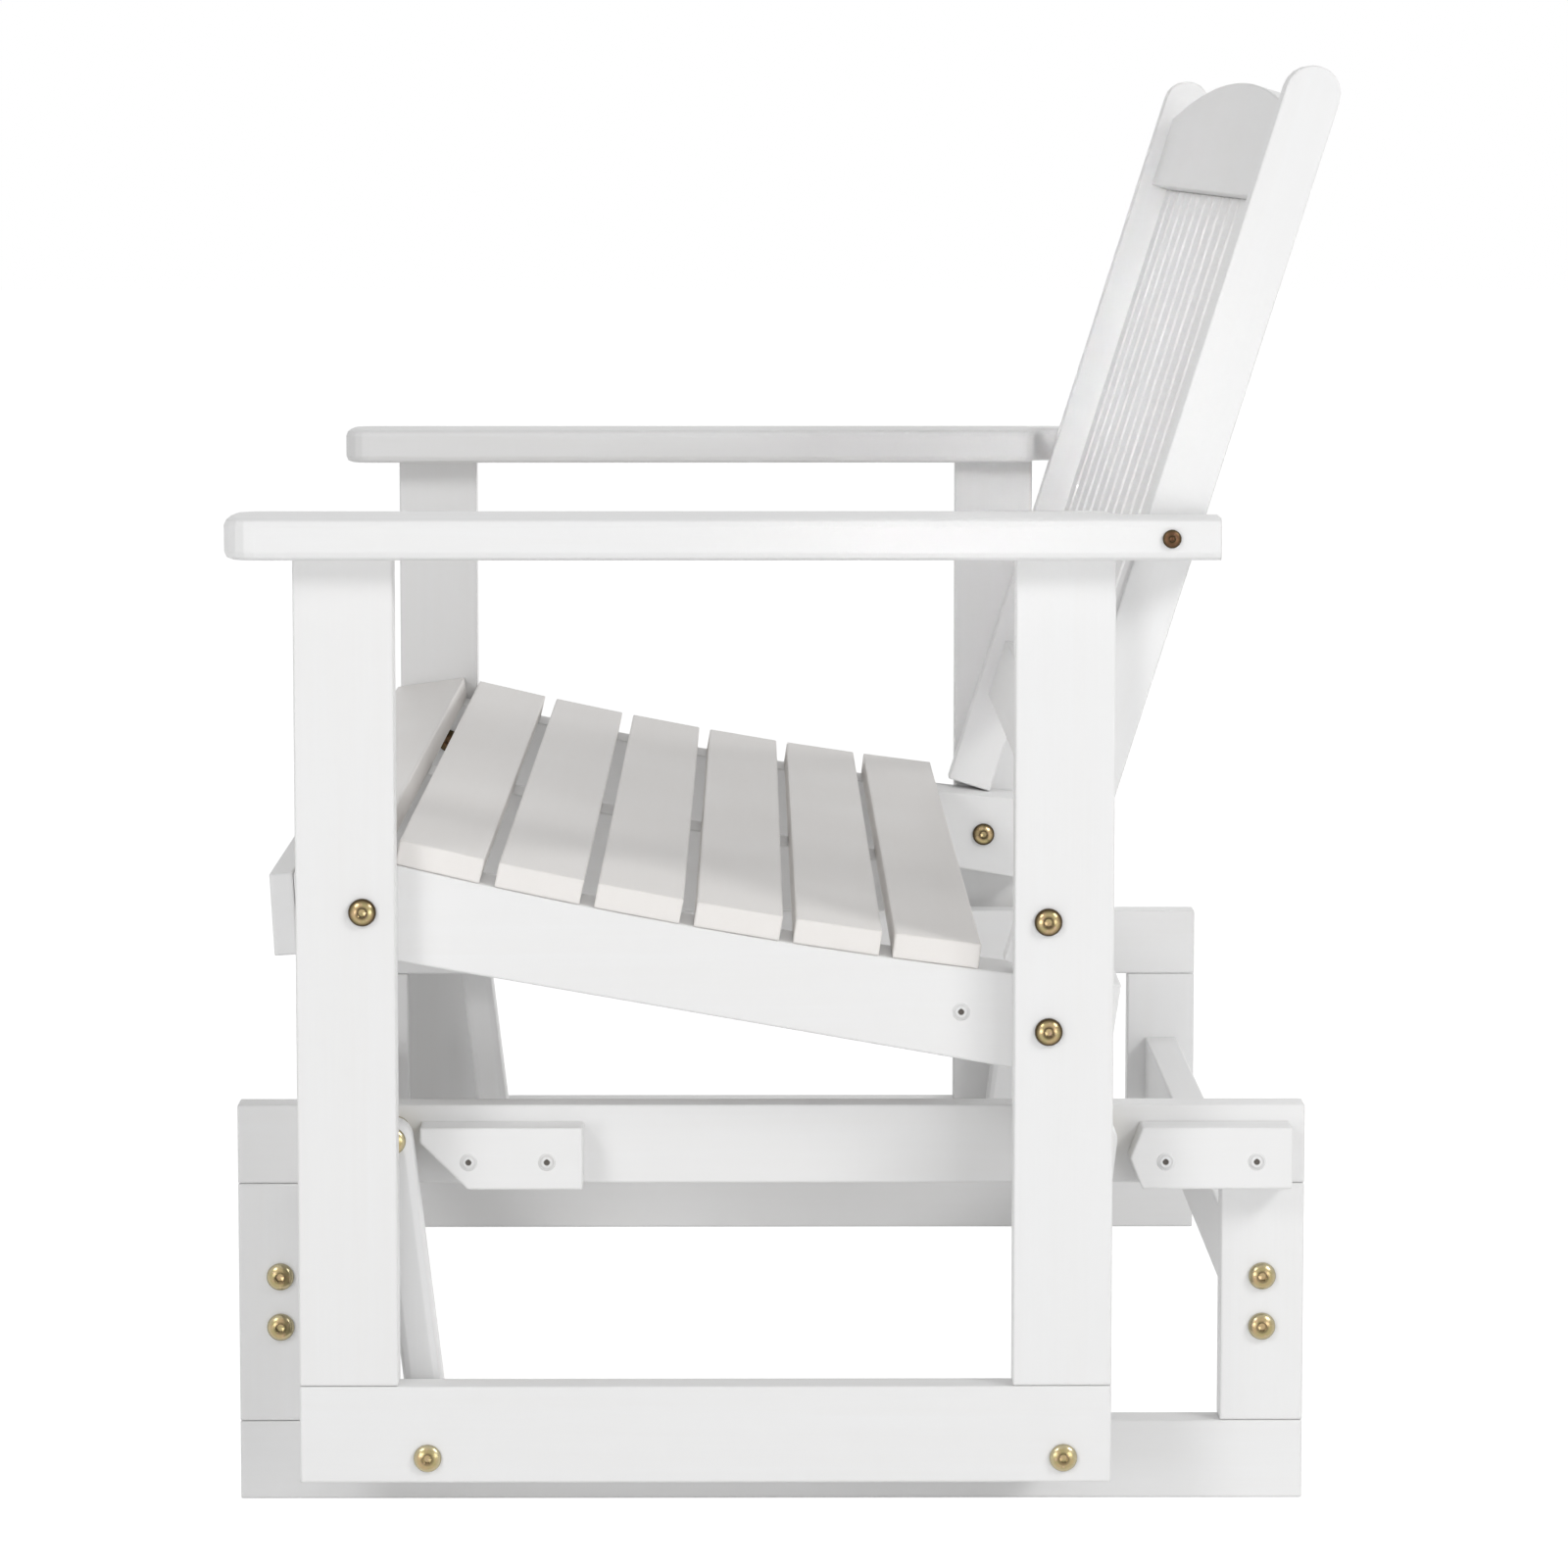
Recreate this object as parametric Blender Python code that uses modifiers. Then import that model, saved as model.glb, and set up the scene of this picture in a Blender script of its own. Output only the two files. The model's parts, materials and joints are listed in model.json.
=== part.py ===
"""Outdoor glider loveseat in painted wood.

A slatted seat with arms and a leaning back hangs on four swinging links from a low base frame.
The links lean towards each other at the bottom, so the seat tips a little as it glides.
X is the width, with +X at the sitter's left. The front faces -Y, and Z is up from the floor.
Y is measured from the middle of the swing, which the root empty moves to centre the whole depth.
"""
import math

import bmesh
import bpy
from mathutils import Matrix, Vector

# Stock and fits, in metres
BOARD = 0.025                       # legs, posts, rails and links
SLAT_THICKNESS = 0.016              # seat slats
BACK_SLAT_THICKNESS = 0.014
FIT = 0.0003                        # gap between faces that touch
HOLE_CLEARANCE = 0.0005             # from a bolt to the hole it passes
EASE = 0.0009                       # rounding along board edges

# Width
BACK_WIDTH = 1.042                  # between the back posts
STRINGER_THICKNESS = 0.060
LINK_SIDE_GAP = 0.0155              # beside each face of a link
ARM_WIDTH = 0.080
ARM_OUTER_OVERHANG = 0.022          # past the legs

# Base frame
BASE_HEIGHT = 0.258
BASE_RAIL_HEIGHT = 0.051
BASE_POST_WIDTH = 0.0535
BASE_FRONT_REACH = 0.102            # from the front upper pivots to the front end
BASE_END_MARGIN = 0.010             # from the rear stop blocks to the rear end
STRETCHER_HEIGHT = 0.050
STRETCHER_LIFT = 0.105              # underside above the floor

# Swinging links
UPPER_PIVOT_SPACING = 0.450
LOWER_PIVOT_SPACING = 0.403
UPPER_PIVOT_DROP = 0.0165           # below the top of the base
LINK_LENGTH = 0.198                 # between pivots
LINK_WIDTH = 0.025
LINK_EASE = 0.0055
OPEN_PIVOT_PLAY = 0.0019            # spare radius in the rear links' lower holes
OPEN_PIVOT_SHIFT = 0.0016           # those holes stand this far ahead of their bolts at rest

# Stop blocks behind the links
STOP_LENGTH = 0.104
STOP_HEIGHT = 0.040
STOP_THICKNESS = 0.025
FRONT_STOP_GAP = 0.0167             # from the front upper pivots
REAR_STOP_GAP = 0.0214              # from the rear upper pivots
STOP_CUT = 0.0305                   # corner sawn off a front block
STOP_POINT = 0.0078                 # length of a rear block's blunt point

# Side frames of the seat
SIDE_FRONT_REACH = 0.0807           # from the front lower pivots to the front legs' front
SIDE_REAR_REACH = 0.0302            # from the rear lower pivots to the rear legs' back
GLIDE_RAIL_HEIGHT = 0.062
PIVOT_ABOVE_RAIL_FOOT = 0.016
LEG_WIDTH = 0.0625
ARM_RISE = 0.358                    # underside above the top of the base
ARM_THICKNESS = 0.0262
ARM_FRONT_OVERHANG = 0.0421
ARM_TAIL = 0.0283                   # past the middle of the back post
ARM_FRONT_ROUNDING = 0.020
ARM_NOTCH_GAP = 0.012               # ahead of the back post
ARM_NOTCH_ROUNDING = 0.010
ARM_EASE = 0.005

# Seat
SEAT_RISE = 0.1173                  # stringer top above the base's top, at the swing's middle
SEAT_SLOPE = 0.1695                 # fall to the rear, at the swing's middle
SEAT_DISH_RADIUS = 3.067            # of the dish's curve
SEAT_RIDGE_SETBACK = 0.0521         # highest line of the stringers behind the front legs' front
SEAT_NOSE_SLOPE = 0.1376            # fall to the front, ahead of the ridge
STRINGER_DEPTH = 0.0549             # at the swing's middle
STRINGER_FOOT_SLOPE = 0.1762
MIDDLE_FOOT_RISE = 0.0655           # level underside of the middle stringer above the base's top
MIDDLE_LEVEL_SETBACK = 0.180        # start of that level stretch behind the front legs' front
STRINGER_OVERHANG = 0.0064          # past the rear legs
STRINGER_END_LEAN = math.radians(8.6)
SEAT_SLAT_COUNT = 6                 # on the dished stretch, behind the front slat
SEAT_SLAT_WIDTH = 0.055
SEAT_SLAT_GAP = 0.008
FRONT_SLAT_SETBACK = 0.0268         # middle of the front slat behind the front legs' front
DISH_SLAT_SETBACK = 0.0874          # middle of the next slat behind the front legs' front
APRON_THICKNESS = 0.015
APRON_HEIGHT = 0.0524
APRON_RISE = 0.1055                 # underside above the top of the base
APRON_LEAN = math.radians(3.3)
CROSS_RAIL_HEIGHT = 0.050
CROSS_RAIL_DROP = 0.009             # below the stringer tops
CROSS_RAIL_SETBACK = 0.0325         # middle of the rail ahead of the rear legs

# Back
BACK_LEAN = math.radians(17.5)
POST_DEPTH = 0.035
POST_LENGTH = 0.5945
POST_HEEL_INSET = 0.0345            # ahead of the rear legs' back
BACK_RAIL_THICKNESS = 0.025         # crest rail and lower rail
CREST_LIFT = 0.5067                 # underside, along the posts from their feet
CREST_END_HEIGHT = 0.0555
CREST_ARCH = 0.0245                 # rise of its top edge from the ends to the middle
LOWER_RAIL_LIFT = 0.0745            # underside, along the posts from their feet
LOWER_RAIL_HEIGHT = 0.047
BACK_SLAT_COUNT = 14
BACK_SLAT_WIDTH = 0.048

# Pivot bolts
BOLT_RADIUS = 0.004
BOLT_HEAD_RADIUS = 0.0085
BOLT_HEAD_RIM = 0.0012
BOLT_HEAD_DOME = 0.0036
SOCKET_RADIUS = 0.0029              # to the corners of the hex socket
SOCKET_DEPTH = 0.0025
SPACER_RADIUS = 0.0095
NUT_RADIUS = 0.0075                 # to its corners
NUT_LENGTH = 0.008
BOLT_END_RECESS = 0.001             # upper bolts stop this far inside the base
NUT_THREAD_SHOW = 0.001             # lower bolts pass their nuts by this

# Fineness of round shapes
ROUND_STEPS = 12                    # sides of bolts and holes
CORNER_STEPS = 5                    # straight lengths in a quarter turn
DOME_STEPS = 3
CURVE_STEP = 0.040                  # along the gentle curves of stringers and crest
EASE_SEGMENTS = 2
SHARP_ANGLE = math.radians(40.0)
WELD = 0.00001
FLAT_ANGLE = 0.001
CUT_OVERRUN = 0.003                 # a cutter passes this far out of what it cuts

HEX_SIDES = 6
SIDES = (("left", 1), ("right", -1))

# Layers across the width, from the middle outwards
post_inner = BACK_WIDTH / 2
post_outer = post_inner + BOARD
stringer_inner = post_outer - STRINGER_THICKNESS
leg_inner = post_outer + FIT
leg_outer = leg_inner + BOARD
arm_outer = leg_outer + ARM_OUTER_OVERHANG
arm_inner = arm_outer - ARM_WIDTH
link_outer = leg_inner - LINK_SIDE_GAP
link_inner = link_outer - BOARD
base_outer = link_inner - LINK_SIDE_GAP
base_inner = base_outer - BOARD

# Linkage
upper_pivot = UPPER_PIVOT_SPACING / 2
lower_pivot = LOWER_PIVOT_SPACING / 2
link_lean = math.asin((upper_pivot - lower_pivot) / LINK_LENGTH)
upper_pivot_height = BASE_HEIGHT - UPPER_PIVOT_DROP
lower_pivot_height = upper_pivot_height - LINK_LENGTH * math.cos(link_lean)

# Base
base_front = -upper_pivot - BASE_FRONT_REACH
base_rear = upper_pivot + REAR_STOP_GAP + STOP_LENGTH + BASE_END_MARGIN
base_rail_foot = BASE_HEIGHT - BASE_RAIL_HEIGHT
base_post_middles = (
    ("front", base_front + BASE_POST_WIDTH / 2),
    ("rear", base_rear - BASE_POST_WIDTH / 2),
)

# Side frames
side_front = -lower_pivot - SIDE_FRONT_REACH
side_rear = lower_pivot + SIDE_REAR_REACH
rear_leg_front = side_rear - LEG_WIDTH
glide_rail_foot = lower_pivot_height - PIVOT_ABOVE_RAIL_FOOT
glide_rail_top = glide_rail_foot + GLIDE_RAIL_HEIGHT
arm_foot = BASE_HEIGHT + ARM_RISE
arm_middle = arm_foot + ARM_THICKNESS / 2
seat_height = BASE_HEIGHT + SEAT_RISE
seat_ridge = side_front + SEAT_RIDGE_SETBACK
apron_foot = BASE_HEIGHT + APRON_RISE
cross_rail_middle = rear_leg_front - CROSS_RAIL_SETBACK


def stringer_top(y):
    """Height of the stringers' top, dished behind its ridge and straight ahead of it."""
    dished = max(y, seat_ridge)
    height = seat_height - SEAT_SLOPE * dished + dished * dished / (2 * SEAT_DISH_RADIUS)
    return height - SEAT_NOSE_SLOPE * (dished - y)


def stringer_slope(y):
    """Slope of the stringers' top."""
    if y < seat_ridge:
        return SEAT_NOSE_SLOPE
    return y / SEAT_DISH_RADIUS - SEAT_SLOPE


def stringer_foot(y):
    """Height of the stringers' straight underside."""
    return seat_height - STRINGER_DEPTH - STRINGER_FOOT_SLOPE * y


# The back's own plane starts at the front corner of the posts' feet
heel_y = side_rear - POST_HEEL_INSET
heel_z = stringer_top(heel_y) + FIT
back_y = heel_y - POST_DEPTH * math.cos(BACK_LEAN)
back_z = heel_z + POST_DEPTH * math.sin(BACK_LEAN)


def post_y(height, depth):
    """Place of a line along the posts, this deep behind their front, at a height above the floor."""
    along = (height - back_z + depth * math.sin(BACK_LEAN)) / math.cos(BACK_LEAN)
    return back_y + depth * math.cos(BACK_LEAN) + along * math.sin(BACK_LEAN)


arm_front = side_front - ARM_FRONT_OVERHANG
arm_rear = post_y(arm_middle, POST_DEPTH / 2) + ARM_TAIL


def back_reach(depth, along, radius):
    """Rearmost point of a rounding about a line of the back, this deep behind the posts' front."""
    return back_y + depth * math.cos(BACK_LEAN) + along * math.sin(BACK_LEAN) + radius


# Whole depth, which the root empty centres on the origin
post_top_radius = POST_DEPTH / 2
post_top_along = POST_LENGTH - post_top_radius
crest_middle = CREST_LIFT + CREST_END_HEIGHT + CREST_ARCH
rear_reach = max(
    base_rear,
    arm_rear,
    back_reach(post_top_radius, post_top_along, post_top_radius),
    back_reach(POST_DEPTH - EASE, crest_middle - EASE, EASE),
)
front_reach = min(base_front, arm_front)
swing_middle = -(front_reach + rear_reach) / 2


def clear_scene():
    """Remove every object of the scene."""
    for old in list(bpy.data.objects):
        bpy.data.objects.remove(old, do_unlink=True)


def new_collection(name):
    """Collection under the scene's own."""
    collection = bpy.data.collections.new(name)
    bpy.context.scene.collection.children.link(collection)
    return collection


def finish(name, colour, roughness, metallic):
    """Principled material."""
    material = bpy.data.materials.new(name)
    material.use_nodes = True
    shader = material.node_tree.nodes["Principled BSDF"]
    shader.inputs["Base Color"].default_value = (*colour, 1.0)
    shader.inputs["Roughness"].default_value = roughness
    shader.inputs["Metallic"].default_value = metallic
    return material


clear_scene()
glider = new_collection("outdoor_glider_loveseat")
cutters = new_collection("cutters")

frame_paint = finish("white_painted_wood", (0.83, 0.83, 0.81), 0.45, 0.0)
slat_paint = finish("white_painted_slats", (0.79, 0.785, 0.77), 0.50, 0.0)
zinc = finish("yellow_zinc_steel", (0.62, 0.50, 0.25), 0.35, 0.9)


def empty(name, place, parent=None):
    """Empty that carries pieces, placed from its parent's origin."""
    holder = bpy.data.objects.new(name, None)
    holder.location = place
    holder.parent = parent
    glider.objects.link(holder)
    return holder


root = empty("glider", (0, swing_middle, 0))
base = empty("base_frame", (0, 0, 0), root)
front_links = empty("front_link_axis", (0, -upper_pivot, upper_pivot_height), root)
rear_links = empty("rear_link_axis", (0, upper_pivot, upper_pivot_height), root)
seat = empty("seat_axis", (0, -lower_pivot, lower_pivot_height), root)


def attach(piece, body):
    """Parent a piece to a body while its own place stays measured from the root."""
    piece.parent = body
    piece.matrix_parent_inverse = Matrix.Translation(body.location).inverted()


back = empty("back_plane", (0, back_y, back_z))
back.rotation_euler = (-BACK_LEAN, 0, 0)
attach(back, seat)


def evaluated_mesh(source):
    """Mesh of an object as its modifiers leave it."""
    bpy.context.view_layer.update()
    return bpy.data.meshes.new_from_object(source.evaluated_get(bpy.context.evaluated_depsgraph_get()))


def tidy(mesh):
    """Weld a mesh, join its flat triangles and point its faces out."""
    shape = bmesh.new()
    shape.from_mesh(mesh)
    bmesh.ops.remove_doubles(shape, verts=shape.verts, dist=WELD)
    bmesh.ops.dissolve_limit(shape, angle_limit=FLAT_ANGLE, verts=shape.verts, edges=shape.edges)
    bmesh.ops.recalc_face_normals(shape, faces=shape.faces)
    shape.to_mesh(mesh)
    shape.free()


def ease_edges(piece, width):
    """Round a piece's sharp edges."""
    bevel = piece.modifiers.new("eased edges", "BEVEL")
    bevel.width = width
    bevel.segments = EASE_SEGMENTS
    bevel.limit_method = "ANGLE"
    bevel.angle_limit = SHARP_ANGLE


def add_piece(name, mesh, body, material):
    """Named object of the loveseat."""
    mesh.materials.clear()
    mesh.materials.append(material)
    piece = bpy.data.objects.new(name, mesh)
    glider.objects.link(piece)
    attach(piece, body)
    return piece


def box(size):
    """Mesh of a box about its own middle."""
    shape = bmesh.new()
    bmesh.ops.create_cube(shape, size=1.0)
    bmesh.ops.scale(shape, vec=size, verts=shape.verts)
    mesh = bpy.data.meshes.new("box")
    shape.to_mesh(mesh)
    shape.free()
    return mesh


def board(name, body, low, high, pivot=(0, 0, 0), tilt=0.0, material=frame_paint):
    """Straight board between two corners, measured from a pivot that it is tilted about."""
    low = Vector(low)
    high = Vector(high)
    piece = add_piece(name, box(high - low), body, material)
    piece.location = Vector(pivot) + Matrix.Rotation(tilt, 3, "X") @ ((low + high) / 2)
    piece.rotation_euler = (tilt, 0, 0)
    ease_edges(piece, EASE)
    return piece


def sawn(name, body, outline, thickness, ease=EASE):
    """Piece sawn to an outline in its own XY plane, with its thickness along its own Z."""
    curve = bpy.data.curves.new(name, "CURVE")
    curve.dimensions = "2D"
    curve.fill_mode = "BOTH"
    curve.extrude = thickness / 2
    spline = curve.splines.new("POLY")
    spline.points.add(len(outline) - 1)
    for point, (across, along) in zip(spline.points, outline):
        point.co = (across, along, 0.0, 1.0)
    spline.use_cyclic_u = True
    pattern = bpy.data.objects.new(name, curve)
    glider.objects.link(pattern)
    mesh = evaluated_mesh(pattern)
    bpy.data.objects.remove(pattern)
    tidy(mesh)
    piece = add_piece(name, mesh, body, frame_paint)
    ease_edges(piece, ease)
    return piece


def sawn_side(name, body, outline, low, high, ease=EASE):
    """Piece sawn to an outline of Y and Z, from one X to another."""
    piece = sawn(name, body, outline, abs(high - low), ease)
    piece.rotation_euler = (math.pi / 2, 0, math.pi / 2)
    piece.location = ((low + high) / 2, 0, 0)
    return piece


def arc(centre, radius, start, end):
    """Points along an arc, with its angles measured from the first axis."""
    steps = max(2, round(CORNER_STEPS * abs(end - start) / (math.pi / 2)))
    angles = [start + (end - start) * step / steps for step in range(steps + 1)]
    return [(centre[0] + radius * math.cos(a), centre[1] + radius * math.sin(a)) for a in angles]


def even_steps(start, end):
    """Values from start to end, about a curve step apart."""
    steps = max(2, round(abs(end - start) / CURVE_STEP))
    return [start + (end - start) * step / steps for step in range(steps + 1)]


def make_cutter(piece):
    """Turn a piece into a tool for Booleans, left out of the finished object."""
    glider.objects.unlink(piece)
    cutters.objects.link(piece)
    piece.hide_render = True
    piece.display_type = "WIRE"


def add_cutter(name, mesh, body):
    """New tool for Booleans."""
    cutter = add_piece(name, mesh, body, zinc)
    make_cutter(cutter)
    return cutter


def combine(piece, tool, operation):
    """Boolean of a piece with a tool."""
    change = piece.modifiers.new(tool.name, "BOOLEAN")
    change.operation = operation
    change.solver = "EXACT"
    change.object = tool


def prism(radius, low, high, sides):
    """Upright prism or cylinder between two heights."""
    shape = bmesh.new()
    bmesh.ops.create_cone(
        shape, cap_ends=True, segments=sides, radius1=radius, radius2=radius,
        depth=high - low, matrix=Matrix.Translation((0, 0, (low + high) / 2)),
    )
    mesh = bpy.data.meshes.new("prism")
    shape.to_mesh(mesh)
    shape.free()
    return mesh


def place_sideways(piece, side, reach, y, z):
    """Point a piece's own +Z out of one side, with its origin at a reach from the middle."""
    piece.location = (side * reach, y, z)
    piece.rotation_euler = (0, side * math.pi / 2, 0)


def drill(name, pieces, body, side, y, z, radius):
    """Round hole along X through pieces on one side, from the middle of the base to past the arm."""
    cutter = add_cutter(name, prism(radius, -arm_outer, CUT_OVERRUN, ROUND_STEPS), body)
    place_sideways(cutter, side, arm_outer, y, z)
    for piece in pieces:
        combine(piece, cutter, "DIFFERENCE")


def bolt(name, body, side, y, z, head, steps, nut_seat=None):
    """Domed bolt with a hex socket, its head seated at a reach from the middle.

    The steps give the radius and the inner end of each length of shank, from the head inwards.
    A nut seat adds a hex nut that starts there.
    """
    quarter = [math.pi / 2 * step / DOME_STEPS for step in range(DOME_STEPS + 1)]
    profile = [
        (BOLT_HEAD_RADIUS * math.sin(a), BOLT_HEAD_RIM + BOLT_HEAD_DOME * math.cos(a)) for a in quarter
    ]
    start = 0.0
    profile.append((BOLT_HEAD_RADIUS, start))
    for radius, end in steps:
        profile.append((radius, start))
        start = end - head
        profile.append((radius, start))
    profile.append((0, start))
    shape = bmesh.new()
    corners = [shape.verts.new((radius, 0, height)) for radius, height in profile]
    for first, second in zip(corners, corners[1:]):
        shape.edges.new((first, second))
    mesh = bpy.data.meshes.new(name)
    shape.to_mesh(mesh)
    shape.free()
    piece = add_piece(name, mesh, body, zinc)
    place_sideways(piece, side, head, y, z)
    screw = piece.modifiers.new("turn", "SCREW")
    screw.axis = "Z"
    screw.steps = ROUND_STEPS
    screw.render_steps = ROUND_STEPS
    screw.use_merge_vertices = True
    screw.merge_threshold = WELD
    top = BOLT_HEAD_RIM + BOLT_HEAD_DOME
    socket_mesh = prism(SOCKET_RADIUS, top - SOCKET_DEPTH, top + CUT_OVERRUN, HEX_SIDES)
    socket = add_cutter(f"{name}_socket", socket_mesh, body)
    place_sideways(socket, side, head, y, z)
    combine(piece, socket, "DIFFERENCE")
    if nut_seat:
        high = nut_seat - head
        nut_mesh = prism(NUT_RADIUS, high - NUT_LENGTH, high, HEX_SIDES)
        nut = add_cutter(f"{name}_nut", nut_mesh, body)
        place_sideways(nut, side, head, y, z)
        combine(piece, nut, "UNION")
    return piece


# Base frame
base_tops = {}
for side_name, side in SIDES:
    xs = sorted((side * base_inner, side * base_outer))
    board(
        f"base_bottom_rail_{side_name}", base,
        (xs[0], base_front, 0), (xs[1], base_rear, BASE_RAIL_HEIGHT),
    )
    base_tops[side_name] = board(
        f"base_top_rail_{side_name}", base,
        (xs[0], base_front, base_rail_foot), (xs[1], base_rear, BASE_HEIGHT),
    )
    for end_name, middle in base_post_middles:
        board(
            f"base_post_{end_name}_{side_name}", base,
            (xs[0], middle - BASE_POST_WIDTH / 2, BASE_RAIL_HEIGHT + FIT),
            (xs[1], middle + BASE_POST_WIDTH / 2, base_rail_foot - FIT),
        )
stretcher_half = base_inner - FIT
for end_name, middle in base_post_middles:
    board(
        f"base_stretcher_{end_name}", base,
        (-stretcher_half, middle - BOARD / 2, STRETCHER_LIFT),
        (stretcher_half, middle + BOARD / 2, STRETCHER_LIFT + STRETCHER_HEIGHT),
    )

# Stop blocks, joined to the outer faces of the base's top rails
stop_inner = base_outer - FIT
stop_outer = stop_inner + STOP_THICKNESS
stop_top = base_rail_foot + STOP_HEIGHT
stop_middle = base_rail_foot + STOP_HEIGHT / 2
front_stop = -upper_pivot + FRONT_STOP_GAP
front_stop_end = front_stop + STOP_LENGTH
rear_stop = upper_pivot + REAR_STOP_GAP
rear_stop_end = rear_stop + STOP_LENGTH
stop_outlines = (
    ("front", (
        (front_stop, stop_top),
        (front_stop, base_rail_foot + STOP_CUT),
        (front_stop + STOP_CUT, base_rail_foot),
        (front_stop_end, base_rail_foot),
        (front_stop_end, stop_top),
    )),
    ("rear", (
        (rear_stop, stop_middle),
        (rear_stop + STOP_POINT, base_rail_foot),
        (rear_stop_end, base_rail_foot),
        (rear_stop_end, stop_top),
        (rear_stop + STOP_POINT, stop_top),
    )),
)
for side_name, side in SIDES:
    for end_name, outline in stop_outlines:
        stop = sawn_side(
            f"link_stop_{end_name}_{side_name}", base, outline, side * stop_inner, side * stop_outer,
        )
        make_cutter(stop)
        combine(base_tops[side_name], stop, "UNION")

# Links, each with a round end about either pivot
links = {}
for side_name, side in SIDES:
    for end_name, end, body in (("front", -1, front_links), ("rear", 1, rear_links)):
        lean = -end * link_lean
        upper = (end * upper_pivot, upper_pivot_height)
        lower = (end * lower_pivot, lower_pivot_height)
        outline = arc(upper, LINK_WIDTH / 2, lean, lean + math.pi)
        outline += arc(lower, LINK_WIDTH / 2, lean + math.pi, lean + 2 * math.pi)
        links[end_name, side_name] = sawn_side(
            f"{end_name}_link_{side_name}", body, outline,
            side * link_inner, side * link_outer, LINK_EASE,
        )

# Side frames of the seat
glide_rails = {}
for side_name, side in SIDES:
    xs = sorted((side * leg_inner, side * leg_outer))
    glide_rails[side_name] = board(
        f"glide_rail_{side_name}", seat,
        (xs[0], side_front, glide_rail_foot), (xs[1], side_rear, glide_rail_top),
    )
    for end_name, front in (("front", side_front), ("rear", rear_leg_front)):
        board(
            f"leg_{end_name}_{side_name}", seat,
            (xs[0], front, glide_rail_top + FIT), (xs[1], front + LEG_WIDTH, arm_foot - FIT),
        )

# Arms, with a notch at the inner edge that lets the narrow tail pass the back post
tail_inner = post_outer + FIT
notch_y = post_y(arm_foot, 0.0) - ARM_NOTCH_GAP
notch_floor = (tail_inner - ARM_NOTCH_ROUNDING, notch_y + ARM_NOTCH_ROUNDING)
notch_corner = (arm_inner + ARM_NOTCH_ROUNDING, notch_y - ARM_NOTCH_ROUNDING)
front_turn = arm_front + ARM_FRONT_ROUNDING
tail_waste = ARM_EASE + CUT_OVERRUN
quarter_turn = math.pi / 2
arm_outline = arc((arm_inner + ARM_FRONT_ROUNDING, front_turn), ARM_FRONT_ROUNDING, math.pi, 3 * quarter_turn)
arm_outline += arc((arm_outer - ARM_FRONT_ROUNDING, front_turn), ARM_FRONT_ROUNDING, -quarter_turn, 0)
arm_outline += [(arm_outer, arm_rear + tail_waste), (tail_inner, arm_rear + tail_waste)]
arm_outline += arc(notch_floor, ARM_NOTCH_ROUNDING, 0, -quarter_turn)
arm_outline += arc(notch_corner, ARM_NOTCH_ROUNDING, quarter_turn, math.pi)

# The tails are sawn off square after the edges are rounded
tail_saw_size = (2 * (arm_outer + CUT_OVERRUN), 2 * tail_waste, ARM_THICKNESS + 2 * CUT_OVERRUN)
tail_saw = add_cutter("arm_tail_saw", box(tail_saw_size), seat)
tail_saw.location = (0, arm_rear + tail_waste, arm_middle)
for side_name, side in SIDES:
    arm = sawn(f"arm_{side_name}", seat, [(side * x, y) for x, y in arm_outline], ARM_THICKNESS, ARM_EASE)
    arm.location = (0, 0, arm_middle)
    combine(arm, tail_saw, "DIFFERENCE")

# Seat apron across the front ends of the stringers
apron_back = side_front - FIT
board(
    "seat_apron", seat,
    (-post_outer, -APRON_THICKNESS, 0), (post_outer, 0, APRON_HEIGHT),
    pivot=(0, apron_back, apron_foot), tilt=APRON_LEAN,
)


def stringer_front(height):
    """Front end of the stringers, along the leaning back of the apron."""
    return apron_back + FIT - (height - apron_foot) * math.tan(APRON_LEAN)


def stringer_top_line(end):
    """Points along the top of a stringer, from the apron over the ridge to its rear end."""
    start = stringer_front(stringer_top(side_front))
    return [(y, stringer_top(y)) for y in [start] + even_steps(seat_ridge, end)]


# Seat stringers and the rear cross rail between them
stringer_end = side_rear + STRINGER_OVERHANG
end_fall = math.tan(STRINGER_END_LEAN)
end_depth = stringer_top(stringer_end) - stringer_foot(stringer_end)
stringer_foot_end = stringer_end - end_depth * end_fall / (1 + STRINGER_FOOT_SLOPE * end_fall)
stringer_foot_start = stringer_front(stringer_foot(side_front))
side_outline = stringer_top_line(stringer_end)
side_outline += [(y, stringer_foot(y)) for y in (stringer_foot_end, stringer_foot_start)]
for side_name, side in SIDES:
    sawn_side(f"seat_stringer_{side_name}", seat, side_outline, side * stringer_inner, side * post_outer)
cross_rail_front = cross_rail_middle - BOARD / 2
middle_end = cross_rail_front - FIT
middle_foot = BASE_HEIGHT + MIDDLE_FOOT_RISE
middle_outline = stringer_top_line(middle_end) + [
    (middle_end, middle_foot),
    (side_front + MIDDLE_LEVEL_SETBACK, middle_foot),
    (stringer_front(apron_foot), apron_foot),
]
stringer_half = STRINGER_THICKNESS / 2
sawn_side("seat_stringer_middle", seat, middle_outline, -stringer_half, stringer_half)
cross_rail_top = stringer_top(cross_rail_middle) - CROSS_RAIL_DROP
cross_rail_half = stringer_inner - FIT
board(
    "seat_cross_rail", seat,
    (-cross_rail_half, cross_rail_front, cross_rail_top - CROSS_RAIL_HEIGHT),
    (cross_rail_half, cross_rail_front + BOARD, cross_rail_top),
)

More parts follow.
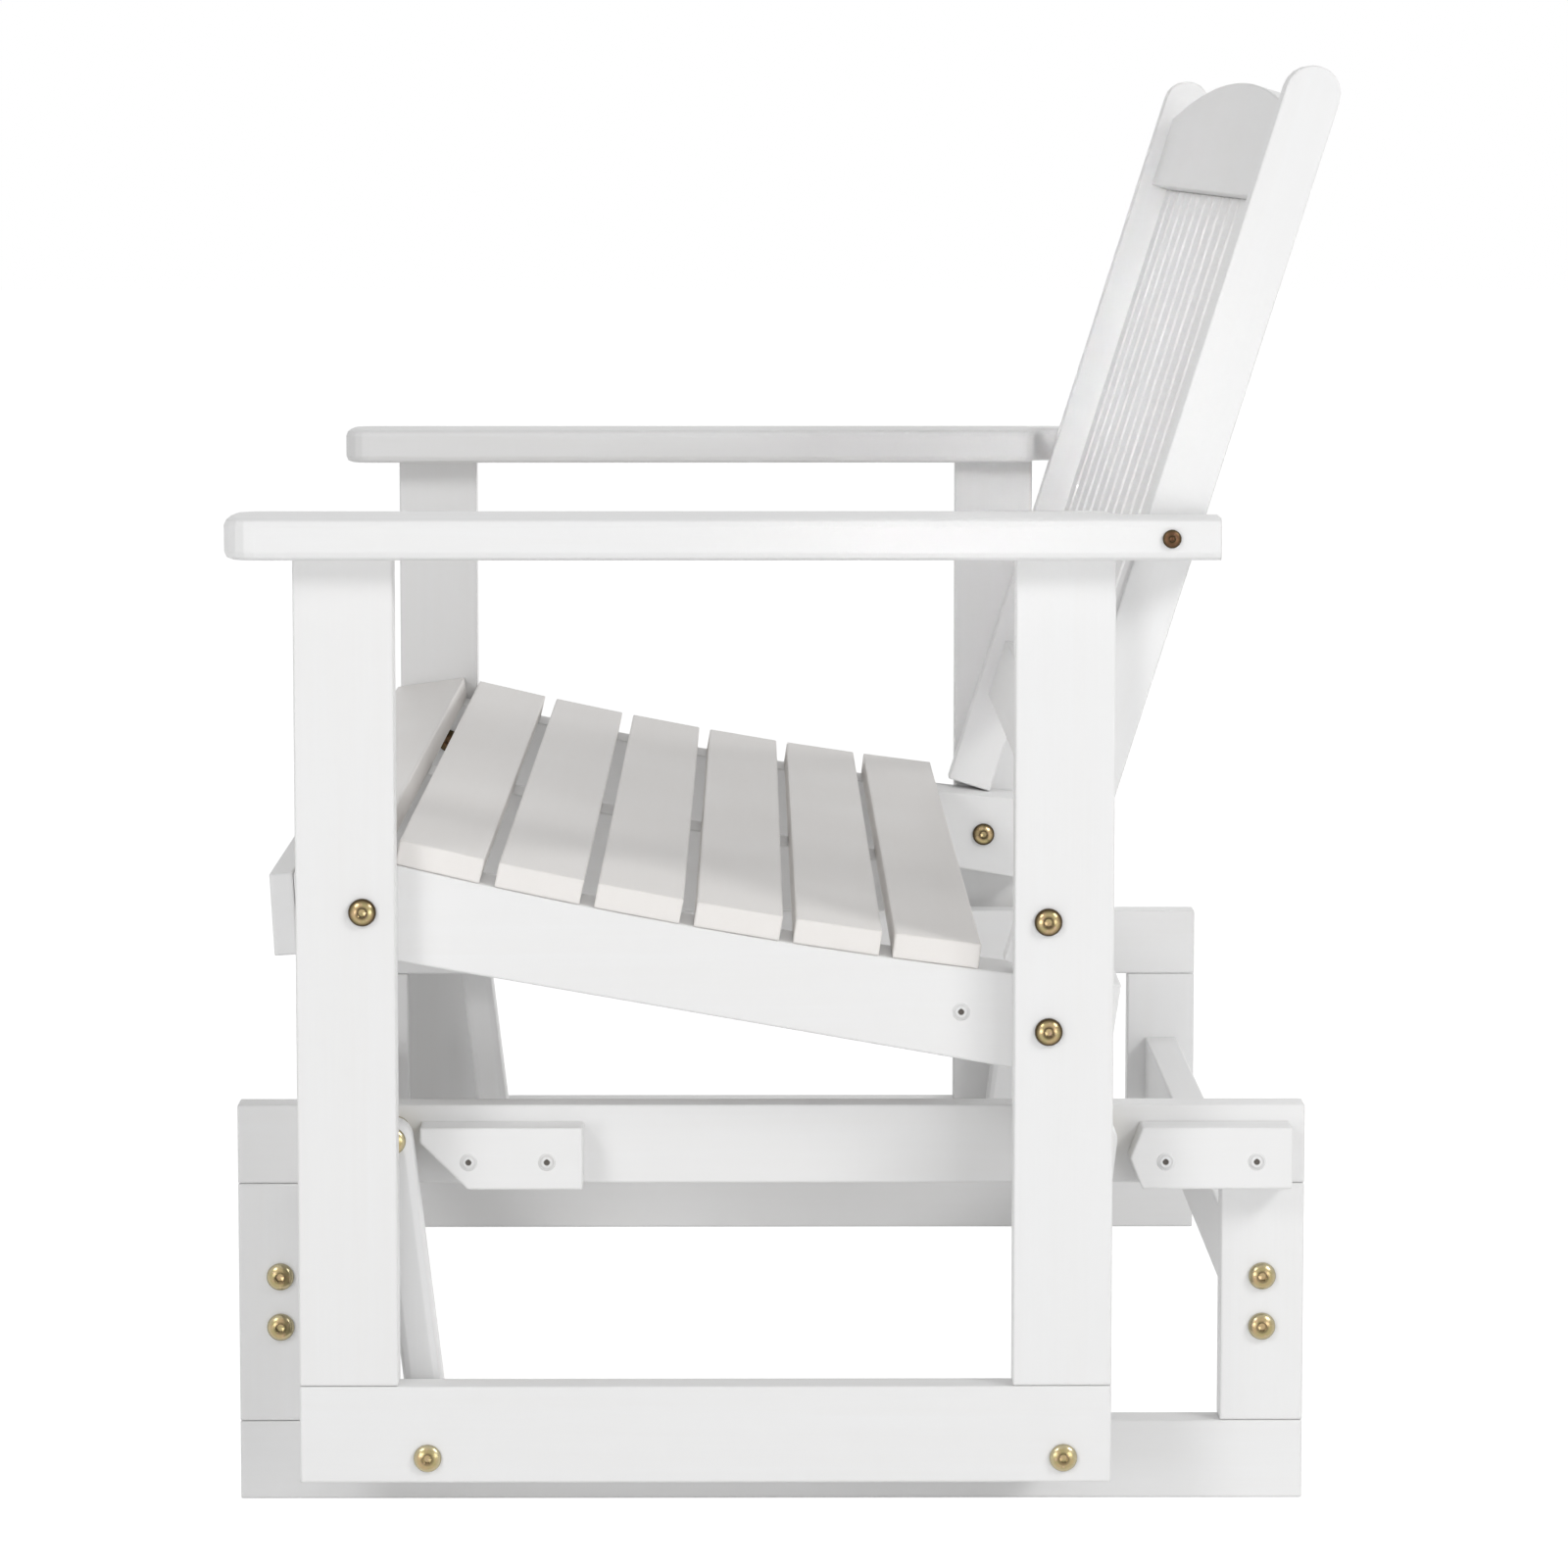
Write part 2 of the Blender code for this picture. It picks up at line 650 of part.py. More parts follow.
# Seat slats, each lying along the stringers' top, with the front one on their nose
slat_setbacks = [FRONT_SLAT_SETBACK]
for number in range(SEAT_SLAT_COUNT):
    slat_setbacks.append(DISH_SLAT_SETBACK + number * (SEAT_SLAT_WIDTH + SEAT_SLAT_GAP))
for number, setback in enumerate(slat_setbacks):
    slat_y = side_front + setback
    board(
        f"seat_slat_{number + 1}", seat,
        (-post_outer, -SEAT_SLAT_WIDTH / 2, FIT),
        (post_outer, SEAT_SLAT_WIDTH / 2, FIT + SLAT_THICKNESS),
        pivot=(0, slat_y, stringer_top(slat_y)), tilt=math.atan(stringer_slope(slat_y)),
        material=slat_paint,
    )


def on_back(piece):
    """Carry a piece in the leaning plane of the back, its place measured from the posts' feet."""
    piece.parent = back
    piece.matrix_parent_inverse = Matrix.Identity(4)
    return piece


def crest_top(x):
    """Arched top edge of the crest rail, along the posts from their feet."""
    return crest_middle - CREST_ARCH * (x / post_inner) ** 2


# Back posts
post_outline = [(0, 0), (POST_DEPTH, 0)]
post_outline += arc((post_top_radius, post_top_along), post_top_radius, 0, math.pi)
for side_name, side in SIDES:
    on_back(sawn_side(
        f"back_post_{side_name}", seat, post_outline, side * post_inner, side * post_outer,
    ))

# Crest rail, lower rail and upright slats, all flush with the back of the posts
rail_half = post_inner - FIT
crest_outline = [(x, crest_top(x)) for x in even_steps(rail_half, -rail_half)]
crest_outline += [(-rail_half, CREST_LIFT), (rail_half, CREST_LIFT)]
crest = on_back(sawn("back_crest_rail", seat, crest_outline, BACK_RAIL_THICKNESS))
crest.rotation_euler = (math.pi / 2, 0, 0)
crest.location = (0, POST_DEPTH - BACK_RAIL_THICKNESS / 2, 0)
lower_rail_top = LOWER_RAIL_LIFT + LOWER_RAIL_HEIGHT
on_back(board(
    "back_lower_rail", seat,
    (-rail_half, POST_DEPTH - BACK_RAIL_THICKNESS, LOWER_RAIL_LIFT),
    (rail_half, POST_DEPTH, lower_rail_top),
))
back_slat_gap = (BACK_WIDTH - BACK_SLAT_COUNT * BACK_SLAT_WIDTH) / (BACK_SLAT_COUNT + 1)
for number in range(BACK_SLAT_COUNT):
    slat_left = post_inner - back_slat_gap - number * (BACK_SLAT_WIDTH + back_slat_gap)
    on_back(board(
        f"back_slat_{number + 1:02d}", seat,
        (slat_left - BACK_SLAT_WIDTH, POST_DEPTH - BACK_SLAT_THICKNESS, lower_rail_top + FIT),
        (slat_left, POST_DEPTH, CREST_LIFT - FIT),
    ))

# Pivot bolts, whose collars space the links off the base and off the glide rails
hole_radius = BOLT_RADIUS + HOLE_CLEARANCE
nut_seat = link_inner - FIT
upper_steps = (
    (BOLT_RADIUS, link_inner - FIT),
    (SPACER_RADIUS, base_outer + FIT),
    (BOLT_RADIUS, base_inner + BOLT_END_RECESS),
)
lower_steps = (
    (BOLT_RADIUS, leg_inner - FIT),
    (SPACER_RADIUS, link_outer + FIT),
    (BOLT_RADIUS, nut_seat - NUT_LENGTH - NUT_THREAD_SHOW),
)
for side_name, side in SIDES:
    for end_name, end, link_body in (("front", -1, front_links), ("rear", 1, rear_links)):
        place = f"{end_name}_{side_name}"
        link = links[end_name, side_name]
        upper_y = end * upper_pivot
        lower_y = end * lower_pivot
        bolt(
            f"upper_pivot_bolt_{place}", base, side, upper_y, upper_pivot_height,
            link_outer + FIT, upper_steps,
        )
        drill(
            f"upper_hole_{place}", [base_tops[side_name], link], link_body, side,
            upper_y, upper_pivot_height, hole_radius,
        )
        bolt(
            f"lower_pivot_bolt_{place}", seat, side, lower_y, lower_pivot_height,
            leg_outer + FIT, lower_steps, nut_seat,
        )
        rail = glide_rails[side_name]
        drill(f"lower_hole_{place}", [rail], seat, side, lower_y, lower_pivot_height, hole_radius)
        loose = end_name == "rear"
        drill(
            f"link_hole_{place}", [link], link_body, side,
            lower_y - OPEN_PIVOT_SHIFT * loose, lower_pivot_height, hole_radius + OPEN_PIVOT_PLAY * loose,
        )
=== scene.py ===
"""Looks of the outdoor glider loveseat: painted wood, plated bolts, painted screws, soft studio light."""
import json
import math

import bmesh
import bpy
from mathutils import Matrix, Vector

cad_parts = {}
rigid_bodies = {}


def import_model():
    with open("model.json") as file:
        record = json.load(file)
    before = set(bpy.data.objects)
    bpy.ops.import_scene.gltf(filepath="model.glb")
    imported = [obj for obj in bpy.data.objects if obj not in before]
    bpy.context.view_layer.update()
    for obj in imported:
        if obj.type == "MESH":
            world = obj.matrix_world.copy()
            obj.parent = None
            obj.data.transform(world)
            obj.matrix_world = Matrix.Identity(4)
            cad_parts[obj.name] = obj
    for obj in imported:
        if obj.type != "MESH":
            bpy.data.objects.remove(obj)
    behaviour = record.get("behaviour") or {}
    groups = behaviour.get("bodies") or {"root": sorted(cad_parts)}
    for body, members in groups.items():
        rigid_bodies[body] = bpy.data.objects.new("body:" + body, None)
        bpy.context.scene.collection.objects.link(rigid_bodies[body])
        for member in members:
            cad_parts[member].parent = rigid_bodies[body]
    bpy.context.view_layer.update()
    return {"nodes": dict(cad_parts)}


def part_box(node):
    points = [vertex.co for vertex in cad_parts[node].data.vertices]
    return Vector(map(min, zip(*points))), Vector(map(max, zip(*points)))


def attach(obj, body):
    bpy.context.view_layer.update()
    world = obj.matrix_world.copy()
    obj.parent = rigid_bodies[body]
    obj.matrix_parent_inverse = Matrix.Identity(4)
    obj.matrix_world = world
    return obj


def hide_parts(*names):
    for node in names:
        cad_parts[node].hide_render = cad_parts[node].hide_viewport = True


for old in list(bpy.data.objects):
    bpy.data.objects.remove(old, do_unlink=True)

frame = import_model()

# Camera, as the photograph was taken
CAMERA_PLACE = (4.230, -0.0175, 0.8763)
CAMERA_TURN = (83.734, 0.0, 89.707)          # degrees
CAMERA_LENS = 135.0                          # mm
CAMERA_SENSOR = 36.0                         # mm

# Sky, as it lights the object and as the camera sees it
SKY_STRENGTH = 0.46
BACKDROP_STRENGTH = 1.0
WHITE = (1.0, 1.0, 1.0, 1.0)

# Lamps: name, place, target, size in metres, power in watts, spread in degrees
WHOLE_OBJECT = (0.1, 0.0, 0.45)
FAR_POST = (-0.45, 0.24, 0.70)
BACK_SLATS = (-0.2, 0.25, 0.70)
OPEN_SPREAD = 180.0
LAMPS = (
    ("softbox_front", (3.4, -2.4, 2.8), WHOLE_OBJECT, 1.1, 31.0, OPEN_SPREAD),
    ("softbox_rear", (2.8, 2.8, 2.8), WHOLE_OBJECT, 1.2, 57.0, OPEN_SPREAD),
    ("low_fill_front", (2.6, -1.3, 0.20), WHOLE_OBJECT, 0.8, 9.6, OPEN_SPREAD),
    ("low_fill_rear", (2.6, 1.3, 0.20), WHOLE_OBJECT, 0.8, 8.8, OPEN_SPREAD),
    ("side_fill", (-2.4, 2.6, 1.0), WHOLE_OBJECT, 1.2, 34.0, OPEN_SPREAD),
    ("back_accent", (2.2, -1.2, 1.6), FAR_POST, 0.3, 0.18, 17.0),
    ("edge_accent", (3.3, -0.45, 1.0), BACK_SLATS, 0.1, 0.05, 7.5),
)

# Floor, as it lights the object and as the camera sees it
FLOOR_HALF = 30.0
FLOOR_LEVEL = -0.0006
FLOOR_ALBEDO = 0.88
FLOOR_SEEN_ALBEDO = 0.30
FLOOR_SEEN_GLOW = 0.90

# Colours, linear
FRAME_WHITE = (0.825, 0.829, 0.833)
SLAT_WHITE = (0.820, 0.800, 0.781)
BARE_WOOD = (0.52, 0.42, 0.31)
# Painted shade, darkening the cross recess of each painted screw
RECESS_PAINTED_SHADE = (0.13, 0.115, 0.10)
ZINC_GOLD = (0.45, 0.33, 0.18)
ZINC_GREEN = (0.38, 0.32, 0.16)
ZINC_PINK = (0.58, 0.39, 0.31)
# Painted reflection: pale colour on the rims of plain zinc heads
PAINTED_PALE_RIM_REFLECTION = (0.45, 0.40, 0.26)
# Painted dark reflection on the rims of some heads, and painted shade round every socket
PAINTED_DARK_REFLECTION_AND_SHADE = (0.075, 0.052, 0.026)
BRONZE = (0.12, 0.065, 0.036)
BRONZE_PINK = (0.28, 0.15, 0.12)

# Paint over wood: its noises, with those of the grain stretched along it
STREAK_STRETCH = (2.2, 60.0, 60.0)
STREAK_NOISE = {"scale": 1.6, "detail": 4.0, "roughness": 0.62, "distortion": 0.35}
PORE_STRETCH = (14.0, 420.0, 420.0)
PORE_NOISE = {"scale": 1.0, "detail": 2.0}
CLOUD_NOISE = {"scale": 7.0, "detail": 3.0}
BRUSH_NOISE = {"scale": 260.0, "detail": 2.0}

# Paint over wood: how much of the bare wood each noise lets through
STREAK_RANGE = (0.30, 0.70, 0.0, 1.0)
STREAK_SHADE = 0.030
PORE_SHADE = 0.016
CLOUD_SHADE = 0.030
BOARD_SHADE = 0.020                          # from board to board
EDGE_ROUNDING = 0.0024                       # metres
EDGE_SAMPLES = 6
EDGE_RANGE = (0.80, 0.99, 1.0, 0.0)          # agreement of the normals, and the share of an edge
THIN_EDGE_RANGE = (0.42, 0.66, 0.02, 0.16)   # clouds, and how thin the paint is on an edge
RECESS_CORE = 0.75                           # share of a recess that gets the full painted shade

# Paint over wood: gloss and relief
PAINT_ROUGHNESS = 0.36
CLOUD_ROUGHNESS = 0.14
EDGE_ROUGHNESS = 0.05
PAINT_SPECULAR = 0.42
STREAK_HEIGHT = 0.55
PORE_HEIGHT = 0.35
BRUSH_HEIGHT = 0.12
PAINT_BUMP = (0.22, 0.0006)                  # strength, and depth in metres

# Plated steel
DRIFT_NOISE = {"scale": 170.0, "detail": 2.0, "roughness": 0.55}
DRIFT_RANGE = (0.38, 0.60, 0.0, 1.0)
PATCH_NOISE = {"scale": 420.0, "detail": 3.0, "roughness": 0.6}
PATCH_RANGE = (0.56, 0.72, 0.0, 0.6)
PATCH_ROUGHNESS = 0.16
SCRATCH_STRETCH = (5200.0, 600.0, 600.0)
SCRATCH_NOISE = {"scale": 1.0, "detail": 2.0}
SCRATCH_BUMP = (0.10, 0.0002)                # strength, and depth in metres
# Bands of a head for its painted rim reflection and its painted shade round the socket
RIM_START = (0.66, 0.90)                     # shares of a head's radius
LIP_START = (0.20, 0.30)
LIP_END = (0.38, 0.54)
LIGHT_LIP = 0.60                             # share of painted shade round a socket
DARK_LIP = 0.85
ZINC_ROUGHNESS = 0.24
DARK_RIM_ROUGHNESS = 0.22
BRONZE_ROUGHNESS = 0.38

# Bolts and nuts, in metres
HEAD_RADIUS = 0.0088
HEAD_RIM = 0.0011
HEAD_DOME = 0.0044
PIVOT_DOME = 0.0036
HEAD_CHAMFER = 0.0003                        # across, at the head's foot
HEAD_CHAMFER_RISE = 0.0002
SOCKET_REACH = 0.0025                        # to the flats of the hex socket
SOCKET_DEPTH = 0.0036
SOCKET_DEPTH_SHARE = 0.7                     # most of a head's height that its socket takes
SOCKET_CHAMFER = 0.0004                      # down, at its lip and at its floor
SOCKET_LIP = 1.28                            # the lip's radius for each unit of reach
SOCKET_FLOOR = 0.25                          # the floor's flat for each unit of reach
SHANK_RADIUS = 0.004
SHANK_CHAMFER = 0.0006
SHANK_BITE = 0.004                           # a frame bolt's length into the wood
COLLAR_RADIUS = 0.0095
NUT_REACH = 0.0065                           # to the flats of the nut
NUT_LENGTH = 0.008
NUT_FLATS = 0.70                             # shares of its length
NUT_COLLAR_START = 0.74
NUT_COLLAR_FOOT = 0.95                       # shares of its reach
NUT_COLLAR_TOP = 0.85
SEAT_GAP = 0.0003                            # from a head to the face under it
BOLT_END_RECESS = 0.001                      # upper pivot bolts stop this far inside the base
NUT_THREAD_SHOW = 0.001                      # lower pivot bolts pass their nuts by this
ARM_BOLT_RADIUS = 0.0058
ARM_BOLT_DOME = 0.0022

# Painted screws, in metres: rings of the recess (arm, half width, height), then of the rest (radius, height)
SCREW_RECESS = 0.0022
SCREW_CROSSES = (
    (0.0006, 0.0004, 0.00010),
    (0.0020, 0.0006, 0.00014),
    (SCREW_RECESS, 0.0007, 0.00075),
)
SCREW_CIRCLES = (
    (0.0026, 0.00085),
    (0.0036, 0.00070),
    (0.0039, 0.00015),
    (0.0042, 0.00015),
    (0.0045, 0.00050),
    (0.0051, 0.00035),
    (0.0056, 0.00005),
    (0.0056, -0.00100),
)

# Places of the fasteners, in metres
STRETCHER_BOLT_HEIGHTS = (("upper", 0.146), ("lower", 0.113))
ARM_BOLT_INSET = 0.0309                      # from the end of the tail
ARM_BOLT_LIFT = 0.0005                       # above the middle of the arm
STOP_SCREW_SETBACKS = (                      # behind the front end of the base's top rail
    ("front_1", 0.1497),
    ("front_2", 0.1999),
    ("rear_1", 0.5961),
    ("rear_2", 0.6545),
)
STOP_SCREW_HEIGHT = 0.2248
CROSS_RAIL_SCREW_HEIGHT = 0.3266

# Fineness of round shapes
ROUND_POINTS = 48
DOME_RINGS = 7
SHARP_ANGLE = math.radians(32.0)             # edges that turn more than this stay sharp
LEAST_SIDE = 0.000001                        # keeps a cross from dividing by nothing

# Sockets of a mix node that carry colours
MIX_COLOUR_INPUTS = (6, 7)
MIX_COLOUR_OUTPUT = 2

SIDES = (("left", 1), ("right", -1))
ENDS = ("front", "rear")
QUARTER = math.pi / 2
BACK_LEAN = math.radians(17.5)

# Runs of the grain, as turns that bring each along X
GRAIN_TURNS = {
    "x": (0.0, 0.0, 0.0),
    "y": (0.0, 0.0, -QUARTER),
    "z": (0.0, QUARTER, 0.0),
    "back": (BACK_LEAN, QUARTER, 0.0),
}

# Run of the grain in each board, by the start of its name
GRAIN_BY_START = (
    ("base_post", "z"),
    ("base_stretcher", "x"),
    ("base_", "y"),
    ("front_link", "z"),
    ("rear_link", "z"),
    ("glide_rail", "y"),
    ("leg_", "z"),
    ("arm_", "y"),
    ("seat_apron", "x"),
    ("seat_cross_rail", "x"),
    ("seat_stringer", "y"),
    ("back_crest_rail", "x"),
    ("back_lower_rail", "x"),
    ("back_", "back"),
)


def principled(name):
    """New material, its node tree and its shader."""
    material = bpy.data.materials.new(name)
    material.use_nodes = True
    tree = material.node_tree
    return material, tree, tree.nodes["Principled BSDF"]


def node(tree, kind, **settings):
    """New shader node with some of its settings."""
    made = tree.nodes.new(kind)
    for key, value in settings.items():
        setattr(made, key, value)
    return made


def math_node(tree, operation, first, second):
    """Math node whose inputs are numbers or sockets; gives its output."""
    made = node(tree, "ShaderNodeMath", operation=operation)
    for socket, value in zip(made.inputs, (first, second)):
        if isinstance(value, float):
            socket.default_value = value
        else:
            tree.links.new(value, socket)
    return made.outputs[0]


def weighted_sum(tree, terms, start=None):
    """Sum of values, each times its weight, added to a start if there is one."""
    total = start
    for value, weight in terms:
        term = math_node(tree, "MULTIPLY", value, weight)
        total = term if total is None else math_node(tree, "ADD", total, term)
    return total


def map_range(tree, value, low, high, to_low, to_high):
    """Value mapped from one range to another, clamped."""
    made = node(tree, "ShaderNodeMapRange")
    tree.links.new(value, made.inputs["Value"])
    made.inputs["From Min"].default_value = low
    made.inputs["From Max"].default_value = high
    made.inputs["To Min"].default_value = to_low
    made.inputs["To Max"].default_value = to_high
    return made.outputs["Result"]


def noise(tree, vector, scale, detail, roughness=0.5, distortion=0.0):
    """Noise texture's value at a vector."""
    made = node(tree, "ShaderNodeTexNoise")
    tree.links.new(vector, made.inputs["Vector"])
    made.inputs["Scale"].default_value = scale
    made.inputs["Detail"].default_value = detail
    made.inputs["Roughness"].default_value = roughness
    made.inputs["Distortion"].default_value = distortion
    return made.outputs["Fac"]


def mix_colour(tree, share, first, second):
    """Blend of two colours, each a socket or a fixed colour."""
    made = node(tree, "ShaderNodeMix", data_type="RGBA")
    tree.links.new(share, made.inputs["Factor"])
    for index, value in zip(MIX_COLOUR_INPUTS, (first, second)):
        socket = made.inputs[index]
        if isinstance(value, tuple):
            socket.default_value = (*value, 1.0)
        else:
            tree.links.new(value, socket)
    return made.outputs[MIX_COLOUR_OUTPUT]


def object_place(tree):
    """Place in the object's own frame."""
    return node(tree, "ShaderNodeTexCoord").outputs["Object"]


def stretched(tree, vector, factors):
    """Vector with each part times its own factor."""
    made = node(tree, "ShaderNodeVectorMath", operation="MULTIPLY")
    tree.links.new(vector, made.inputs[0])
    made.inputs[1].default_value = factors
    return made.outputs["Vector"]


def shifted(tree, vector, shift):
    """Vector moved by another, or by one value along every axis."""
    made = node(tree, "ShaderNodeVectorMath", operation="ADD")
    tree.links.new(vector, made.inputs[0])
    tree.links.new(shift, made.inputs[1])
    return made.outputs["Vector"]


def axis_distance(tree):
    """Distance from the object's own Z axis."""
    length = node(tree, "ShaderNodeVectorMath", operation="LENGTH")
    tree.links.new(stretched(tree, object_place(tree), (1.0, 1.0, 0.0)), length.inputs[0])
    return length.outputs["Value"]


def add_bump(tree, shader, height, strength, depth):
    """Relief on a shader's normal; gives the node."""
    bump = node(tree, "ShaderNodeBump")
    bump.inputs["Strength"].default_value = strength
    bump.inputs["Distance"].default_value = depth
    tree.links.new(height, bump.inputs["Height"])
    tree.links.new(bump.outputs["Normal"], shader.inputs["Normal"])
    return bump


def painted_wood(name, colour, turn, recess=None):
    """White paint over wood whose grain runs along X once the object is turned by these angles.

    A recess is the radius about the object's own Z axis within which the colour is darkened, painted shade
    for a screw's recess.
    """
    material, tree, shader = principled(name)
    links = tree.links
    along = node(tree, "ShaderNodeMapping")
    along.inputs["Rotation"].default_value = turn
    links.new(object_place(tree), along.inputs["Vector"])
    board = node(tree, "ShaderNodeObjectInfo").outputs["Random"]
    place = shifted(tree, along.outputs["Vector"], board)
    streaks = noise(tree, stretched(tree, place, STREAK_STRETCH), **STREAK_NOISE)
    pores = noise(tree, stretched(tree, place, PORE_STRETCH), **PORE_NOISE)
    clouds = noise(tree, place, **CLOUD_NOISE)
    brushed = noise(tree, place, **BRUSH_NOISE)

    # Edges, where the rounded normal leaves the face's own
    rounded = node(tree, "ShaderNodeBevel", samples=EDGE_SAMPLES)
    rounded.inputs["Radius"].default_value = EDGE_ROUNDING
    agree = node(tree, "ShaderNodeVectorMath", operation="DOT_PRODUCT")
    links.new(rounded.outputs["Normal"], agree.inputs[0])
    links.new(node(tree, "ShaderNodeNewGeometry").outputs["Normal"], agree.inputs[1])
    edge = map_range(tree, agree.outputs["Value"], *EDGE_RANGE)

    shade = weighted_sum(tree, (
        (map_range(tree, streaks, *STREAK_RANGE), STREAK_SHADE),
        (pores, PORE_SHADE),
        (clouds, CLOUD_SHADE),
        (board, BOARD_SHADE),
    ))
    tone = mix_colour(tree, shade, colour, BARE_WOOD)
    thin = math_node(tree, "MULTIPLY", edge, map_range(tree, clouds, *THIN_EDGE_RANGE))
    tone = mix_colour(tree, thin, tone, BARE_WOOD)
    # Painted shade: the colour darkens towards the middle of the screw's recess
    if recess:
        recess_shade_mask = map_range(tree, axis_distance(tree), recess * RECESS_CORE, recess, 1.0, 0.0)
        tone = mix_colour(tree, recess_shade_mask, tone, RECESS_PAINTED_SHADE)
    links.new(tone, shader.inputs["Base Color"])
    rough = weighted_sum(tree, ((clouds, CLOUD_ROUGHNESS), (edge, EDGE_ROUGHNESS)), PAINT_ROUGHNESS)
    links.new(rough, shader.inputs["Roughness"])
    shader.inputs["Specular IOR Level"].default_value = PAINT_SPECULAR

    height = weighted_sum(tree, ((streaks, STREAK_HEIGHT), (pores, PORE_HEIGHT), (brushed, BRUSH_HEIGHT)))
    bump = add_bump(tree, shader, height, *PAINT_BUMP)
    links.new(rounded.outputs["Normal"], bump.inputs["Normal"])
    return material


def plated_steel(name, colours, rim_reflection, socket_shade_share, radius, roughness):
    """Plated steel with drifts of colour, fine scratches and duller patches.

    Heads of this radius get a painted reflection colour towards their rim, and a share of painted shade
    round their socket.
    """
    material, tree, shader = principled(name)
    links = tree.links
    place = shifted(tree, object_place(tree), node(tree, "ShaderNodeObjectInfo").outputs["Random"])
    drift = noise(tree, place, **DRIFT_NOISE)
    patch = noise(tree, place, **PATCH_NOISE)
    scratches = noise(tree, stretched(tree, place, SCRATCH_STRETCH), **SCRATCH_NOISE)
    reach = axis_distance(tree)

    def across(band, to_low, to_high):
        """Ramp between two shares of the head's radius."""
        return map_range(tree, reach, radius * band[0], radius * band[1], to_low, to_high)

    tone = mix_colour(tree, map_range(tree, drift, *DRIFT_RANGE), colours[0], colours[1])
    tone = mix_colour(tree, map_range(tree, patch, *PATCH_RANGE), tone, colours[2])
    # Painted reflection towards the rim, then painted shade round the socket
    tone = mix_colour(tree, across(RIM_START, 0.0, 1.0), tone, rim_reflection)
    lip = math_node(tree, "MULTIPLY", across(LIP_START, 0.0, 1.0), across(LIP_END, 1.0, 0.0))
    tone = mix_colour(tree, math_node(tree, "MULTIPLY", lip, socket_shade_share), tone, PAINTED_DARK_REFLECTION_AND_SHADE)
    links.new(tone, shader.inputs["Base Color"])
    shader.inputs["Metallic"].default_value = 1.0
    rough = weighted_sum(tree, ((patch, PATCH_ROUGHNESS),), roughness - PATCH_ROUGHNESS / 2)
    links.new(rough, shader.inputs["Roughness"])
    add_bump(tree, shader, scratches, *SCRATCH_BUMP)
    return material


# Materials, the frame's paint once for each run of the grain
frame_paints = {}
for run, turn in GRAIN_TURNS.items():
    frame_paints[run] = painted_wood(f"white_paint_{run}", FRAME_WHITE, turn)
slat_paint = painted_wood("white_paint_slats", SLAT_WHITE, GRAIN_TURNS["x"])
# The screws' paint carries painted shade in their recesses
screw_paint = painted_wood("white_paint_screws", FRAME_WHITE, GRAIN_TURNS["y"], SCREW_RECESS)
zinc_colours = (ZINC_GOLD, ZINC_GREEN, ZINC_PINK)
zinc = plated_steel("yellow_zinc", zinc_colours, PAINTED_PALE_RIM_REFLECTION, LIGHT_LIP, HEAD_RADIUS, ZINC_ROUGHNESS)
# Zinc and bronze heads whose rims take the painted dark reflection
zinc_painted_dark_rim = plated_steel(
    "yellow_zinc_dark_rim", zinc_colours, PAINTED_DARK_REFLECTION_AND_SHADE, DARK_LIP, HEAD_RADIUS, DARK_RIM_ROUGHNESS,
)
bronze_colours = (BRONZE, BRONZE, BRONZE_PINK)
bronze = plated_steel("bronzed_steel", bronze_colours, PAINTED_DARK_REFLECTION_AND_SHADE, DARK_LIP, ARM_BOLT_RADIUS, BRONZE_ROUGHNESS)

# Paint or plating of every CAD node
for name, piece in frame["nodes"].items():
    if name.startswith("seat_slat"):
        paint = slat_paint
    elif "pivot_bolt" in name:
        paint = zinc
    else:
        grain = next(run for start, run in GRAIN_BY_START if name.startswith(start))
        paint = frame_paints[grain]
    for slot in piece.material_slots:
        slot.material = paint


def circle(radius):
    """Radius at every angle of a circle."""
    return lambda angle: radius


def hexagon(reach):
    """Radius at every angle of a hexagon with this reach to its flats."""
    sector = math.pi / 3
    return lambda angle: reach / math.cos((angle + sector / 2) % sector - sector / 2)


def cross(arm, half_width):
    """Radius at every angle of a four-armed cross."""
    def radius(angle):
        turn = (angle + QUARTER / 2) % QUARTER - QUARTER / 2
        side = max(abs(math.sin(turn)), LEAST_SIDE)
        return min(arm / math.cos(turn), half_width / side)
    return radius


def turned(name, rings, material):
    """Closed shape through rings of (radius at an angle, height), from the middle of its top to its foot."""
    shape = bmesh.new()
    angles = [2 * math.pi * step / ROUND_POINTS for step in range(ROUND_POINTS)]
    loops = []
    for radius, height in rings:
        loops.append([
            shape.verts.new((radius(a) * math.cos(a), radius(a) * math.sin(a), height)) for a in angles
        ])
    for upper, lower in zip(loops, loops[1:]):
        for step in range(ROUND_POINTS):
            after = (step + 1) % ROUND_POINTS
            shape.faces.new((upper[step], lower[step], lower[after], upper[after]))
    shape.faces.new(loops[0])
    shape.faces.new(list(reversed(loops[-1])))
    bmesh.ops.recalc_face_normals(shape, faces=shape.faces)
    mesh = bpy.data.meshes.new(name)
    shape.to_mesh(mesh)
    shape.free()
    mesh.shade_smooth()
    mesh.set_sharp_from_angle(angle=SHARP_ANGLE)
    mesh.materials.append(material)
    piece = bpy.data.objects.new(name, mesh)
    bpy.context.scene.collection.objects.link(piece)
    return piece


